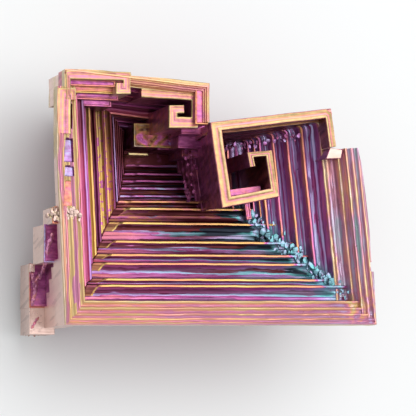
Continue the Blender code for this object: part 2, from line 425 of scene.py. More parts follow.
def sweepTree(lines):
    tree, source = newTree("mitredSweep%d" % lines, {"Path": "Object", "Finish": "Material"})
    path = addNode(tree, "GeometryNodeObjectInfo", {"Object": source["Path"]}, transform_space="ORIGINAL")
    pathCurve = addNode(tree, "GeometryNodeMeshToCurve", {"Mesh": path.outputs["Geometry"]})
    ringCurve = addNode(tree, "GeometryNodeMeshToCurve", {"Mesh": source["Geometry"]})
    skin = addNode(tree, "GeometryNodeCurveToMesh",
                   {"Curve": pathCurve.outputs[0], "Profile Curve": ringCurve.outputs[0], "Fill Caps": True})
    place = readOf(tree, "base", "FLOAT_VECTOR")
    height = 0.0
    for line in range(lines):
        span = readOf(tree, "span%d" % line, "FLOAT_VECTOR")
        place = vectorOf(tree, "ADD", place, scaleOf(tree, span, readOf(tree, "off%d" % line)))
        height = readOf(tree, "weight%d" % line).math("MULTIPLY_ADD", readOf(tree, "rise%d" % line), height)
    ofLeg = {label: readOf(tree, "leg_" + label) for label in legNames}
    ofRow = {label: readOf(tree, "row_" + label) for label in rowNames}
    # lips break off short of the corner where the front flight starts
    start, end = corner["broken"]
    isFront = ofLeg["tone"].near(toneOf["front"], 0.1)
    drop = ofLeg["along"].ranged(start, end, 1.0, 0.0) * isFront * ofRow["lip"]
    height = drop.math("MULTIPLY_ADD", -corner["drop"] * mm, height)
    lifted = fieldOf(tree, "ShaderNodeCombineXYZ", {"Z": height})
    moved = addNode(tree, "GeometryNodeSetPosition",
                    {"Geometry": skin.outputs["Mesh"], "Position": vectorOf(tree, "ADD", place, lifted)})
    shape = storeAll(tree, moved.outputs[0], {
        "film": ofRow["film"] + ofLeg["film"], "dark": ofRow["dark"] + ofLeg["dark"], "tone": ofLeg["tone"],
        "step": ofRow["step"], "bands": ofRow["bands"], "along": ofLeg["along"], "pale": ofRow["pale"]})
    spent = ["leg_" + label for label in legNames] + ["row_" + label for label in rowNames] + ["base"]
    spent += [stem + str(line) for stem in ("span", "weight", "off", "rise") for line in range(lines)]
    for name in spent:
        shape = addNode(tree, "GeometryNodeRemoveAttribute", {"Geometry": shape, "Name": name}).outputs[0]
    welded = addNode(tree, "GeometryNodeMergeByDistance", {"Geometry": shape, "Distance": 0.002 * mm})
    return finishTree(tree, welded.outputs[0], source["Finish"])


sweepTrees = {}


def sweep(name, rows, startTurn, legs, endTurn, radius=0.0):
    lines = len(legs) + 2
    if lines not in sweepTrees:
        sweepTrees[lines] = sweepTree(lines)
    ring = sectionRing(name, rows, lines)
    path = sweepPath(name + "Path", startTurn, legs, endTurn, radius, rows[0]["offs"])
    bakeTree(ring, sweepTrees[lines], {"Path": path})
    bpy.data.objects.remove(path)
    return faceOutwards(ring)


# Terraces. step counts terraces from the rim: whole numbers are crests, the fraction runs down
# the riser (to 0.2), over the dished tread and up to the raised lip (0.85 on).

terrace = {
    "lip": 0.42, "dish": 0.36, "jitter": 0.03,      # mm, and how far the fine lines stray
    "rimLevels": 5, "flatter": 0.4,     # terraces that are pale, and how deep the dish is on those
    # step; place: share of width, share of lip taken back, mm; depth: share of drop, share of dish, mm
    "riser": ((0.02, 0.0, 0.0, 0.02, 0.12, 0.0, 0.0), (0.09, 0.02, 0.0, 0.03, 0.48, 0.0, 0.0),
              (0.11, 0.05, 0.0, 0.02, 0.55, 0.0, 0.0), (0.18, 0.06, 0.0, 0.03, 1.0, 0.4, 0.0),
              (0.24, 0.14, 0.0, 0.0, 1.0, 0.75, 0.0)),
    # fine lines along a tread: step, share of the width inside the lip, share of the dish
    "lines": ((0.30, 0.26, 0.95), (0.35, 0.36, 0.80), (0.39, 0.40, 1.0), (0.47, 0.56, 0.95),
              (0.52, 0.62, 0.80), (0.56, 0.66, 1.02), (0.66, 0.84, 0.9)),
    "edge": ((0.78, 1.0, 0.95, 0.0, 1.0, 0.25, 0.0), (0.86, 1.0, 0.75, 0.0, 1.0, 0.0, -0.02),
             (0.95, 1.0, 0.2, 0.0, 1.0, 0.0, -0.03), (1.00, 1.0, 0.0, 0.0, 1.0, 0.0, 0.05)),
}


def terraceRows(levels, s, rng):        # levels: offs and depths on every line, from the rim down
    rows = []
    for number, ((offs0, depths0), (offs1, depths1)) in enumerate(zip(levels, levels[1:])):
        onRim = number < s["rimLevels"]
        wobble = [rng.uniform(-1, 1) * s["jitter"] for _ in range(12)]
        lines = [(step, place + shift, place + shift, 0.0, 1.0, lift, 0.0)
                 for (step, place, lift), shift in zip(s["lines"], wobble)]
        for step, widths, lips, out, drops, dishes, sink in s["riser"] + tuple(lines) + s["edge"]:
            offs, rises = [], []
            for o0, o1, d0, d1 in zip(offs0, offs1, depths0, depths1):
                width = o1 - o0
                lip = min(s["lip"], 0.42 * abs(width))
                dish = min(s["dish"], 0.3 * abs(width)) * (s["flatter"] if onRim else 1.0)
                offs.append(o0 + widths * width - lips * lip + out)
                rises.append(rimHeight - (d0 + drops * (d1 - d0) + dishes * dish + sink))
            lipness = 0.0 if onRim or step < 0.7 else 0.5 if step < 0.8 else 1.0
            rows.append(row(offs, rises, step=number + step, bands=1.0, lip=lipness, pale=float(onRim)))
    return rows


def ridgedWall(offs, low, high, film, dark, rng, spacing=0.45, depth=0.06):
    # rows with fine growth ridges, from the bottom up
    count = max(1, int((high - low) / spacing))
    pale = min(0.7, max(0.0, (0.1 - film) * 6.0))
    rows = []
    for i in range(count + 1):
        ridge = depth * (i % 2) + rng.uniform(0, 0.4 * depth) if 0 < i < count else 0.0
        z = low + (high - low) * i / count
        rows.append(row([o + ridge for o in offs], [z] * len(offs), film=film + rng.uniform(-0.05, 0.05),
                        dark=dark, pale=pale))
    return rows


# The main hopper: back right stub, back, left and front flights round one pit.
hopper = {
    "startTurn": 90.0, "endTurn": 6.0, "startCut": 12.35, "endCut": 24.2, "radius": 0.0,
    "wall": (0.5, -0.06, 0.0),      # mm from the rim down to it, film, dark
    "rim": ((0.12,) * 4, (0.95, -18.1, -24.1, -18.12)),          # depth and outer edge on each leg
    # depth, then the crest's place on each leg: back right, back, left, front
    "crests": [((depth,) * 4, places) for depth, *places in (
        (0.02, 1.35, -17.40, -23.53, -17.78), (0.20, 1.60, -17.2, -22.99, -17.15),
        (0.42, 1.85, -16.9, -22.09, -16.45), (0.80, 2.05, -16.65, -21.4, -15.50),
        (1.50, 2.35, -16.3, -20.5, -14.50), (3.50, 2.60, -15.9, -19.7, -12.00),
        (4.50, 2.64, -15.8, -18.5, -11.00), (6.50, 2.90, -15.5, -17.75, -8.50),
        (7.70, 2.94, -15.4, -16.71, -7.10), (9.30, 3.10, -15.2, -15.43, -5.00),
        (11.30, 3.3, -14.8, -13.65, -2.00), (13.0, 3.60, -13.5, -11.95, 0.40),
        (14.0, 3.66, -13.4, -11.34, 1.60), (14.8, 3.72, -13.3, -10.85, 2.50),
        (15.8, 3.9, -12.9, -10.24, 3.80), (16.6, 4.1, -12.3, -9.75, 5.00),
        (17.6, 4.2, -12.1, -9.13, 6.20), (18.6, 4.3, -11.9, -8.52, 7.60))],
    "legs": [leg(180.0, 8, "back", (0.02, 0.0)), leg(-94.5, 34, "back"), leg(3.0, 44, "left", (0.0, -0.02)),
             leg(90.7, 56, "front", (-0.02, 0.2), nearStart=(0.5, 1.0, 1.4, 1.8, 2.1, 2.4, 2.8, 3.4))],
}

# The second hopper, turned a few degrees: right and back flights.
turnedHopper = {
    "startTurn": 90.7, "endTurn": 8.3, "startCut": -17.85, "endCut": 0.95, "radius": 0.8,
    "wall": (0.6, 0.42, 0.1), "rim": ((0.1, 0.3), (-24.12, -12.3)),
    # depth and place on the right leg, depth and place on the back leg
    "crests": [((depth0, depth1), (place0, place1)) for depth0, place0, depth1, place1 in (
        (0.0, -23.45, 0.12, -11.3), (0.35, -22.6, 0.6, -11.2), (0.75, -21.75, 1.2, -11.1),
        (1.9, -20.85, 2.0, -11.0), (3.7, -18.95, 3.1, -10.65), (5.8, -16.65, 5.4, -10.55),
        (7.9, -14.9, 7.3, -10.35), (9.9, -13.25, 9.3, -10.2), (11.0, -11.4, 10.6, -10.0),
        (11.8, -10.8, 11.6, -9.9), (12.6, -10.0, 12.4, -9.8), (13.8, -7.0, 13.6, -9.6))],
    "legs": [leg(186.0, 52, "right", (0.02, 0.0)), leg(-81.7, 34, "turnedBack", (0.0, 0.0), (0.0, 0.1))],
}


def growHopper(name, h, rng):
    # the two end cuts stand still and take the depths of the legs beside them
    levels = [([h["startCut"]] + list(places) + [h["endCut"]], [depths[0]] + list(depths) + [depths[-1]])
              for depths, places in [h["rim"]] + h["crests"]]
    outer, inner = levels[0][0], levels[-1][0]
    rows = [row(outer, [rimHeight - depth for depth in levels[0][1]], bands=1.0, pale=1.0)]
    rows += terraceRows(levels, terrace, rng)
    rows.append(row(inner, [groundTrim] * len(inner), film=0.5, dark=0.6))
    down, film, dark = h["wall"]
    rows += ridgedWall(outer, groundTrim, rimHeight - down, film, dark, rng, depth=-0.04)
    return sweep(name, rows, h["startTurn"], h["legs"], h["endTurn"], h["radius"])


# Bands: walls that follow a chain of points along their outer edge and lie to its left.

# fraction across the top, depth below it, film
pinkTop = ((0.0, 0.35, 0.06), (0.02, 0.10, 0.08), (0.07, 0.0, 0.10), (0.18, 0.02, 0.30), (0.30, 0.08, 0.38),
           (0.42, 0.09, 0.22), (0.50, 0.12, 0.36), (0.60, 0.10, 0.42), (0.67, 0.05, 0.34),
           (0.76, 0.05, 0.42), (0.88, 0.0, 0.16), (0.95, 0.03, 0.10), (1.0, 0.14, 0.2))
bandTop = ((0.0, 0.35, 0.46), (0.02, 0.10, 0.42), (0.07, 0.0, 0.34), (0.18, 0.02, 0.12), (0.30, 0.06, 0.16),
           (0.42, 0.09, 0.28), (0.50, 0.10, 0.37), (0.60, 0.10, 0.38), (0.67, 0.05, 0.24),
           (0.76, 0.01, 0.12), (0.88, 0.0, 0.14), (0.95, 0.03, 0.38), (1.0, 0.14, 0.44))


def band(name, points, widths, ledges, innerFoot, top, profile, rng, outerTone, innerTone, topDark=0.17,
         leans=None):
    # ledges from the bottom up: bottom, top, how far the outer wall stands out
    points = [Vector(p) for p in points]
    turns, offs, legs = [], [], []
    for here, ahead in zip(points, points[1:]):
        travel = (ahead - here).normalized()
        normal = Vector((-travel.y, travel.x))
        turns.append(math.degrees(math.atan2(normal.y, normal.x)))
        offs.append(normal.dot(here))
        legs.append(leg(turns[-1], max(3, int((ahead - here).length / 0.7))))
    startNormal, endNormal = facing(turns[0] - 90.0), facing(turns[-1] - 90.0)
    outer = [startNormal.dot(points[0])] + offs + [endNormal.dot(points[-1])]
    across = [0.0] + list(widths) + [0.0]
    stands = [0.0] + list(leans or [1.0] * len(widths)) + [0.0]
    rows = []
    for low, high, out in ledges:
        stood = [o - out * share for o, share in zip(outer, stands)]
        rows += ridgedWall(stood, low, high - 0.02, *outerTone, rng, 0.5, 0.05)
    for share, down, film in profile:
        rows.append(row([o + share * w for o, w in zip(outer, across)], [top - down] * len(outer),
                        film=film, dark=topDark, pale=0.5))
    inside = [o + w for o, w in zip(outer, across)]
    rows += ridgedWall(inside, innerFoot, top - 0.5, *innerTone, rng, 0.5, -0.05)[::-1]
    for r in rows:      # growth ridges leave the two end cuts flat
        r["offs"][0], r["offs"][-1] = outer[0], outer[-1]
    return sweep(name, rows, turns[0] - 90.0, legs, turns[-1] - 90.0)


# The square spiral box: one wall that runs round and winds in on itself.
spiral = {
    "points": ((19.32, 9.3), (18.55, 14.36), (17.64, 15.03), (-0.89, 12.34), (1.0, -0.6), (10.03, 1.29),
               (8.93, 8.41), (4.96, 7.98), (5.43, 5.72)),
    "widths": (1.15, 1.25, 1.45, 1.75, 1.5, 1.1, 0.85, 0.9),
    "ledges": ((groundTrim, 3.8, 0.5), (3.8, 5.0, 0.2), (5.0, 6.4, -0.1), (6.4, 7.7, -0.45), (7.7, 9.4, -0.8),
               (9.4, 12.0, -0.85), (12.0, 15.0, -0.65), (15.0, 18.0, -0.42), (18.0, 20.4, -0.2),
               (20.4, 21.6, 0.0)),
    "leans": (0, 0, 0, 1, 0.5, 0, 0, 0),
    "outerTone": (0.46, 0.5), "innerTone": (0.34, 0.75), "topDark": 0.27,      # film and dark of its sides
}
hooks = {
    # points, widths, top, foot, tone of the outer wall, tone of the inner wall
    "backHook": (((-4.49, 14.97), (-6.85, 14.89), (-6.84, 11.41), (-2.29, 11.56), (-2.29, 17.03),
                  (-11.07, 17.31)), (1.3, 1.4, 1.7, 1.0, 1.35), 20.4, 6.0, (0.40, 0.3), (0.46, 0.5)),
    "curl": (((-15.5, 17.7), (-15.53, 16.04), (-13.21, 16.13), (-13.2, 19.45), (-23.15, 19.35),
              (-23.15, 15.0)), (1.3, 1.35, 1.2, 1.35, 0.7), 22.0, 11.0, (0.03, 0.0), (0.4, 0.3)),
    "leftBar": (((-21.6, 15.0), (-21.6, 16.8), (-24.5, 16.7), (-24.55, 9.9)), (1.3, 1.6, 2.15), 21.95, 19.6,
                (0.1, 0.0), (0.38, 0.2)),
}


def growSpiral(s, rng):
    return band("spiralBox", s["points"], s["widths"], s["ledges"], groundTrim, rimHeight, bandTop, rng,
                s["outerTone"], s["innerTone"], s["topDark"], s["leans"])


def growHooks(pieces, rng):
    return [band(name, points, widths, ((foot, top - 0.4, 0.0),), foot, top, pinkTop, rng, *tones)
            for name, (points, widths, top, foot, *tones) in pieces.items()]


# Stacked outlines: blocks, slabs and cutters that stand upright.

def insetOutline(outline, inset):
    points = []
    for i, here in enumerate(outline):
        here = Vector(here)
        ahead = (Vector(outline[(i + 1) % len(outline)]) - here).normalized()
        behind = (here - Vector(outline[i - 1])).normalized()
        side = (Vector((-ahead.y, ahead.x)) + Vector((-behind.y, behind.x))) / (1.0 + ahead.dot(behind))
        points.append(here + side * inset)
    return points


plainFace = {"step": 0.0, "bands": 0.0, "along": 9.0}       # faces without terraces, far from any corner


def stack(name, outline, rings, tone="plain"):
    # outline anticlockwise; rings from the bottom up: height, inset, film, dark
    points = [(p.x * mm, p.y * mm, z * mm) for z, inset, _, _ in rings for p in insetOutline(outline, inset)]
    count, last = len(outline), len(points) - len(outline)
    faces = [(low + i, low + (i + 1) % count, low + count + (i + 1) % count, low + count + i)
             for low in range(0, last, count) for i in range(count)]
    faces += [tuple(range(count))[::-1], tuple(range(last, last + count))]
    mesh = bpy.data.meshes.new(name)
    mesh.from_pydata(points, [], faces)
    around = [rings[loop.vertex_index // count] for loop in mesh.loops]
    values = {"film": [ring[2] for ring in around], "dark": [ring[3] for ring in around],
              "pale": [min(0.8, max(0.0, (0.22 - ring[2]) * 5.0)) for ring in around]}
    for label, value in {**plainFace, "tone": toneOf[tone]}.items():
        values[label] = [float(value)] * len(around)
    for label, each in values.items():
        writeValues(mesh, label, each, domain="CORNER")
    thing = bpy.data.objects.new(name, mesh)
    workshop.objects.link(thing)
    return faceOutwards(thing)


def box(x0, y0, x1, y1):
    return [(x0, y0), (x1, y0), (x1, y1), (x0, y1)]


floors = {
    "pitFloor": (box(-20.0, -12.0, 18.0, 12.5), 2.7, 0.05, 0.7),        # outline, height, inset, dark
    "boxFloor": ([(1.6, 0.2), (9.6, 1.6), (17.6, 13.9), (0.0, 11.8)], 7.3, 0.1, 0.8),
}


def growFloors(pieces):
    grown = []
    for name, (outline, z, inset, dark) in pieces.items():
        rings = [(groundTrim, 0, 0.5, dark), (z, 0, 0.5, dark), (z + 0.2, inset, 0.5, dark)]
        grown.append(stack(name, outline, rings, "back"))
    return grown


blocks = {
    # outline, bottom, top, film of wall, lip, dish and middle, dark of wall, lip and middle
    "backBand": (box(-3.0, 12.05, -0.98, 18.3), 4.5, 21.4, (0.42, 0.3, 0.4, 0.42), (0.5, 0.0, 0.1)),
    "cornerFill": (box(-5.2, 9.4, 2.2, 13.4), -1.5, 8.6, (0.48, 0.45, 0.55, 0.55), (0.6, 0.2, 0.4)),
    "purpleShelf": (box(-3.9, 10.95, 0.2, 12.6), 3.0, 17.0, (0.50, 0.44, 0.45, 0.46), (0.5, -0.3, -0.3)),
    "lowShelf": (box(-3.4, 9.2, 1.0, 11.2), 2.0, 13.6, (0.52, 0.45, 0.46, 0.5), (0.5, -0.3, 0.0)),
    "pinkBlock": (box(-1.9, 8.1, 1.0, 9.6), 2.0, 10.6, (0.45, 0.40, 0.41, 0.42), (0.3, 0.0, 0.0)),
    "deepBlock": (box(-9.3, 9.6, -1.6, 13.3), 1.5, 9.6, (0.36, 0.18, 0.22, 0.37), (0.55, -0.2, 0.3)),
    "creamLedge": (box(-22.7, 17.2, -15.4, 18.2), 14.0, 21.2, (0.45, 0.30, 0.44, 0.48), (0.4, 0.0, 0.2)),
    "yellowLedge": (box(-22.8, 16.3, -14.6, 17.5), 14.0, 19.9, (0.5, 0.22, 0.28, 0.36), (0.6, 0.0, 0.0)),
    "pinkLedge": (box(-21.9, 15.5, -14.2, 16.6), 12.0, 18.4, (0.5, 0.38, 0.42, 0.44), (0.6, 0.0, 0.0)),
    "lowPinkLedge": (box(-21.4, 14.7, -14.9, 15.8), 11.0, 17.0, (0.5, 0.40, 0.43, 0.46), (0.6, 0.0, 0.1)),
    "goldLedge": (box(-9.56, 8.55, -6.3, 8.9), 1.0, 7.2, (0.2, 0.12, 0.12, 0.12), (0.2, 0.0, 0.0)),
    "pinkStrip": (((8.1, 2.4), (8.75, -1.3), (9.6, -1.15), (9.0, 2.6)), 3.0, 10.2, (0.55, 0.42, 0.41, 0.43),
                  (0.6, 0.0, 0.0)),
    "whiteCap": (box(-25.7, -10.0, -25.0, -8.8), 6.0, 10.3, (-0.1, -0.1, -0.1, -0.1), (0.0, 0.0, 0.0)),
    "notchFacet": (((17.9, 7.4), (20.3, 7.6), (20.55, 8.9), (18.5, 9.1)), 10.0, 21.3,
                   (0.45, 0.42, 0.02, 0.02), (0.5, 0.0, 0.32)),
    "leftBlockBack": (box(-24.85, -3.4, -21.6, -0.8), 14.8, 20.6, (-0.06, 0.3, 0.42, 0.45), (0.0, 0.1, 0.1)),
    "leftBlockMiddle": (box(-25.3, -8.95, -21.2, -3.25), 10.4, 17.4, (-0.04, 0.62, 0.46, 0.47),
                        (0.0, 0.0, 0.0)),
    "leftBlockFront": (box(-25.7, -15.4, -21.5, -8.7), 3.6, 9.6, (-0.06, 0.34, 0.42, 0.46), (0.0, 0.0, -0.1)),
    "foot": (box(-25.6, -19.4, -21.6, -15.1), 3.4, 9.3, (-0.06, -0.06, -0.05, -0.03), (0.0, 0.0, 0.0)),
    "innerLedge": (((1.3, 1.2), (8.3, 2.4), (8.2, 3.3), (1.2, 2.2)), 10.0, 18.6, (0.5, 0.36, 0.42, 0.40),
                   (0.6, 0.0, 0.0)),
    "base": (box(-23.2, -16.9, -12.1, -8.6), -1.0, 5.5, (0.4, 0.4, 0.4, 0.4), (0.3, 0.3, 0.3)),
}
flatTopped = ("notchFacet", "whiteCap", "innerLedge", "goldLedge", "foot")


def lippedRings(low, high, film, dark, rng, lip, dish):     # a ridged wall, a raised edge and a dished top
    rings = []
    count = max(2, int((high - low) / 0.55))
    for i in range(count):
        ridge = 0.05 * (i % 2) + rng.uniform(0, 0.02) if i else 0.0
        z = low + (high - 0.12 - low) * i / count
        rings.append((z, ridge, film[0] + rng.uniform(-0.04, 0.04), dark[0]))
    return rings + [(high - 0.10, 0.0, film[1], dark[1]), (high, 0.06, film[1], 0.0),
                    (high - 0.01, lip * 0.6, film[1], 0.0), (high - dish, lip, film[2], dark[2]),
                    (high - dish * 1.2, lip + 0.25, film[3], dark[2])]


def growBlocks(pieces, rng):
    grown = []
    for name, (outline, low, high, film, dark) in pieces.items():
        lip, dish = (0.06, 0.03) if name in flatTopped else (0.3, 0.12)
        rings = lippedRings(low, high, film, dark, rng, lip, dish)
        grown.append(stack(name, outline, rings, "swirled" if name == "deepBlock" else "plain"))
    return grown


# What is taken away: stepped undersides, steps and chips in the walls, dents, and the outer trims.

undercuts = {
    # which way it faces, where it starts and ends, steps from the top down: how far out, the top's height
    "front": (-89.3, -40.0, 20.9, ((17.3, 18.4), (16.3, 16.3), (15.2, 13.8), (14.2, 11.2), (13.0, 8.7),
                                   (12.0, 5.9), (10.8, 3.1))),
    "right": (6.0, -40.0, 40.0, ((22.9, 18.7), (21.6, 16.1), (20.1, 13.4), (18.8, 10.6), (17.2, 8.0),
                                 (15.8, 5.2), (14.3, 2.6))),
    "back": (85.5, -40.0, -2.2, ((17.1, 17.0), (16.4, 13.2), (15.6, 9.6), (14.7, 6.2), (13.8, 3.0))),
    "towerBack": (98.3, -0.3, 40.0, ((11.9, 18.9), (11.1, 15.4), (10.4, 11.9), (9.8, 8.3), (9.3, 5.0),
                                     (8.9, 2.3))),
    "left": (180.0, -8.6, 21.0, ((23.2, 19.8), (22.2, 17.2), (21.1, 14.5), (20.2, 11.7), (19.1, 8.9),
                                 (18.2, 6.0), (17.0, 3.2))),
}


def undercut(name, turn, start, end, steps, rng):
    far, film, dark = 34.0, 0.38, 0.25
    heights = [top for _, top in steps[1:]] + [groundTrim - 1]
    rows = [row([start, far, end], [z] * 3, film=film, dark=dark) for z in (groundTrim - 1, steps[0][1])]
    for (out, top), low in zip(steps, heights):
        wall = ridgedWall([0.0, out, 0.0], low + 0.02, top, film, dark, rng, 0.5, 0.06)[::-1]
        for r in wall:
            r["offs"] = [start, r["offs"][1], end]
        rows += wall
    return sweep(name, rows, turn - 90.0, [leg(turn, max(2, int((end - start) / 2.0)))], turn - 90.0)


# from y, to y, height
wallSteps = ((-15.2, -13.2, 11.4), (-13.2, -11.3, 13.4), (-11.3, -9.6, 15.2), (-9.6, -8.0, 16.8))
rimChips = ((24.55, 0.0, 21.1), (24.7, -8.9, 20.8))     # x and y of the chip, height of its floor
dents = {
    # outline, depth to which it is sunk, film, dark
    "dentBack": (((-23.4, 5.7), (-21.6, 5.7), (-21.85, 9.3), (-23.1, 9.35)), 20.4, 0.64, 0.3),
    "dentMiddle": (((-23.3, 3.5), (-21.5, 3.5), (-21.7, 5.2), (-23.15, 5.25)), 20.7, 0.64, 0.2),
    "dentFront": (((-23.6, -1.0), (-21.7, -0.95), (-22.0, 3.05), (-23.2, 3.1)), 21.35, 0.32, 0.2),
    "slit": (box(-22.3, 10.7, -21.8, 14.6), 17.0, 0.52, 0.55),
}
trims = {
    "base": ((-40, -40), (40, -40), (40, 40), (-40, 40)),
    "left": ((-60, -1.0), (-24.5, -1.0), (-24.5, 16.95), (-23.3, 17.0), (-23.25, 60), (-60, 60)),
    "back": ((-60, 19.45), (-13.2, 19.55), (-13.15, 18.9), (-1.0, 18.42), (0.0, 18.4), (0.0, 60), (-60, 60)),
    "right": ((25.7, -60), (60, -60), (60, 60), (15, 60), (15, 15.5), (18.46, 15.2), (19.08, 10.3),
              (19.95, 9.1), (22.8, 9.2), (23.3, 7.0), (24.35, -0.5), (24.9, -8.0), (25.25, -9.2),
              (25.7, -17.75)),
}


def growCuts(rng):
    cuts = [undercut(name + "Undercut", *values, rng) for name, values in undercuts.items()]
    for near, far, high in wallSteps:
        outline = box(-28.0, near, -23.2, far + 0.05)
        cuts.append(stack("wallStep", outline, [(-4.0, 0, 0.45, 0.5), (high, 0, 0.45, 0.5)]))
    for x, y, low in rimChips:
        chip = [(x, y - 0.8), (x + 2.0, y - 1.0), (x + 2.0, y + 1.0), (x, y + 0.55)]
        cuts.append(stack("rimChip", chip, [(low, 0, 0.45, 0.3), (30.0, 0, 0.45, 0.3)]))
    return cuts


def growTrims():
    bodies = []
    for name, outline in trims.items():
        high = 0.0 if name == "base" else 40.0
        bodies.append(stack(name + "Trim", outline, [(-8.0, 0, 0.1, 0.2), (high, 0, 0.1, 0.2)]))
    for name, (outline, low, film, dark) in dents.items():
        bodies.append(stack(name, outline, [(low, 0.24, film, dark), (low + 0.25, 0.16, film - 0.12, dark),
                                            (low + 0.55, 0.1, 0.44, 0.2), (low + 0.9, 0.0, 0.40, 0.0),
                                            (30.0, 0.0, 0.4, 0.0)]))
    return bodies


# Crumbs: small angular grains strewn along a chain of points.

crumbLines = {
    # points, spacing, scatter, grain, film, dark, pale, seed
    "misfit": (((9.5, -0.8, 9.6), (11.2, -3.0, 11.1), (14.3, -5.6, 12.9), (16.2, -7.8, 14.7),
                (18.7, -10.0, 16.7), (20.3, -12.0, 18.3)), 0.34, 0.6, 0.5, 0.80, 0.05, 0.0, 1.0),
    "misfitFine": (((9.9, -1.3, 9.7), (14.9, -6.1, 13.2), (19.0, -10.0, 16.9), (21.4, -13.0, 19.4)), 0.3, 1.3,
                   0.28, 0.76, 0.1, 0.0, 5.0),
    "misfitSpots": (((9.9, -2.4, 9.6), (12.6, -5.6, 11.2), (15.0, -7.8, 13.0)), 0.2, 1.2, 0.3, 0.9, 0.9, 0.0,
                    12.0),
    "pinkVein": (((-24.0, -4.7, 17.5), (-24.33, -5.64, 17.4), (-24.8, -7.44, 17.3), (-24.4, -8.7, 15.5),
                  (-24.22, -8.9, 13.5), (-23.7, -9.96, 9.6), (-24.6, -11.19, 9.6), (-24.7, -12.56, 9.6),
                  (-25.3, -15.0, 9.5)), 0.11, 0.06, 0.32, 0.43, -0.5, 0.8, 6.0),
    "veinBranch": (((-25.3, -10.2, 9.6), (-25.0, -11.6, 9.6), (-24.9, -12.6, 9.6)), 0.11, 0.05, 0.25, 0.43,
                   -0.5, 0.8, 6.5),
    "footStreak": (((-25.2, -18.4, 9.3), (-24.7, -17.6, 9.3), (-24.3, -17.0, 9.35)), 0.12, 0.08, 0.2, 0.44,
                   0.0, 0.3, 7.5),
    "footBits": (((-25.2, -19.2, 3.9), (-24.4, -19.2, 3.8), (-23.0, -19.3, 3.8)), 0.4, 0.1, 0.22, 0.24,
                 0.2, 0.0, 7.0),
    "towerFoot": (((-0.6, 3.5, 9.0), (0.2, -0.4, 8.0), (1.6, -1.2, 7.0)), 0.4, 0.7, 0.4, 0.48, 0.6, 0.0, 8.0),
    "towerSide": (((-1.3, 10.6, 12.0), (-0.6, 6.6, 11.0), (-0.3, 3.0, 10.0)), 0.35, 1.0, 0.3, 0.48, 0.6, 0.0,
                  11.0),
    "backKnobs": (((5.5, 9.9, 8.2), (9.5, 10.3, 11.9), (12.5, 10.8, 14.9), (15.2, 11.2, 17.4)), 0.4, 0.5, 0.3,
                  0.58, 0.15, 0.1, 9.0),
    "rimCap": (((-25.2, -1.9, 20.9), (-23.6, -2.3, 21.45), (-22.4, -1.8, 21.45), (-21.3, -2.2, 21.1)), 0.06,
               0.7, 0.34, 0.02, 0.3, 0.6, 2.0),
}


def crumbTree():
    tree, source = newTree("crumbs", {
        "Spacing": 0.5 * mm, "Scatter": 0.5 * mm, "Grain": 0.5 * mm, "Film": 0.8, "Dark": 0.2, "Pale": 0.0,
        "Seed": 1.0, "Finish": "Material"})
    place = fieldOf(tree, "GeometryNodeInputPosition")

    def noise(kind, output, **inputs):
        inputs = {"Vector": place, "W": source["Seed"], **inputs}
        return fieldOf(tree, kind, inputs, output, noise_dimensions="4D")

    curve = addNode(tree, "GeometryNodeMeshToCurve", {"Mesh": source["Geometry"]})
    points = addNode(tree, "GeometryNodeCurveToPoints",
                     {"Curve": curve.outputs[0], "Length": source["Spacing"]}, mode="LENGTH")
    chance = noise("ShaderNodeTexWhiteNoise", "Color")
    centred = vectorOf(tree, "SUBTRACT", chance, (0.5, 0.5, 0.5))
    spread = scaleOf(tree, vectorOf(tree, "MULTIPLY", centred, (2.0, 2.0, 0.9)), source["Scatter"])
    strewn = addNode(tree, "GeometryNodeSetPosition",
                     {"Geometry": points.outputs["Points"], "Offset": spread})
    grain = addNode(tree, "GeometryNodeMeshIcoSphere", {"Radius": source["Grain"], "Subdivisions": 1})
    turned = vectorOf(tree, "MULTIPLY", centred, (0.4, 0.4, 1.2))
    size = vectorOf(tree, "ADD", vectorOf(tree, "MULTIPLY", chance, (0.7, 1.0, 0.2)), (0.5, 0.8, 0.2))
    grains = addNode(tree, "GeometryNodeInstanceOnPoints", {"Points": strewn.outputs[0], "Rotation": turned,
                                                            "Instance": grain.outputs["Mesh"], "Scale": size})
    joined = addNode(tree, "GeometryNodeMeshBoolean", {"Mesh 2": grains.outputs[0]}, operation="UNION",
                     solver="MANIFOLD")
    shade = noise("ShaderNodeTexNoise", "Fac", Scale=1500.0) - 0.5
    shape = storeAll(tree, joined.outputs["Mesh"], {
        **plainFace, "tone": float(toneOf["plain"]), "film": shade * 0.5 + source["Film"],
        "dark": shade * -1.5 + source["Dark"], "pale": source["Pale"]})
    rumpled = noise("ShaderNodeTexNoise", "Color", Scale=1300.0, Detail=2.0)
    rumpled = vectorOf(tree, "SUBTRACT", rumpled, (0.5, 0.5, 0.5))
    push = scaleOf(tree, rumpled, Field(tree, source["Grain"]) * 0.9)
    moved = addNode(tree, "GeometryNodeSetPosition", {"Geometry": shape, "Offset": push})
    return finishTree(tree, moved.outputs[0], source["Finish"])


def growCrumbs(pieces):
    tree = crumbTree()
    grown = []
    for name, (points, spacing, scatter, grain, film, dark, pale, seed) in pieces.items():
        thing = wireObject(name, [(x * mm, y * mm, z * mm) for x, y, z in points], False)
        bakeTree(thing, tree, {"Spacing": spacing * mm, "Scatter": scatter * mm, "Grain": grain * mm,
                               "Film": film, "Dark": dark, "Pale": pale, "Seed": seed})
        grown.append(faceOutwards(thing))
    return grown


# Growing the solids together, then weathering the one that is left.

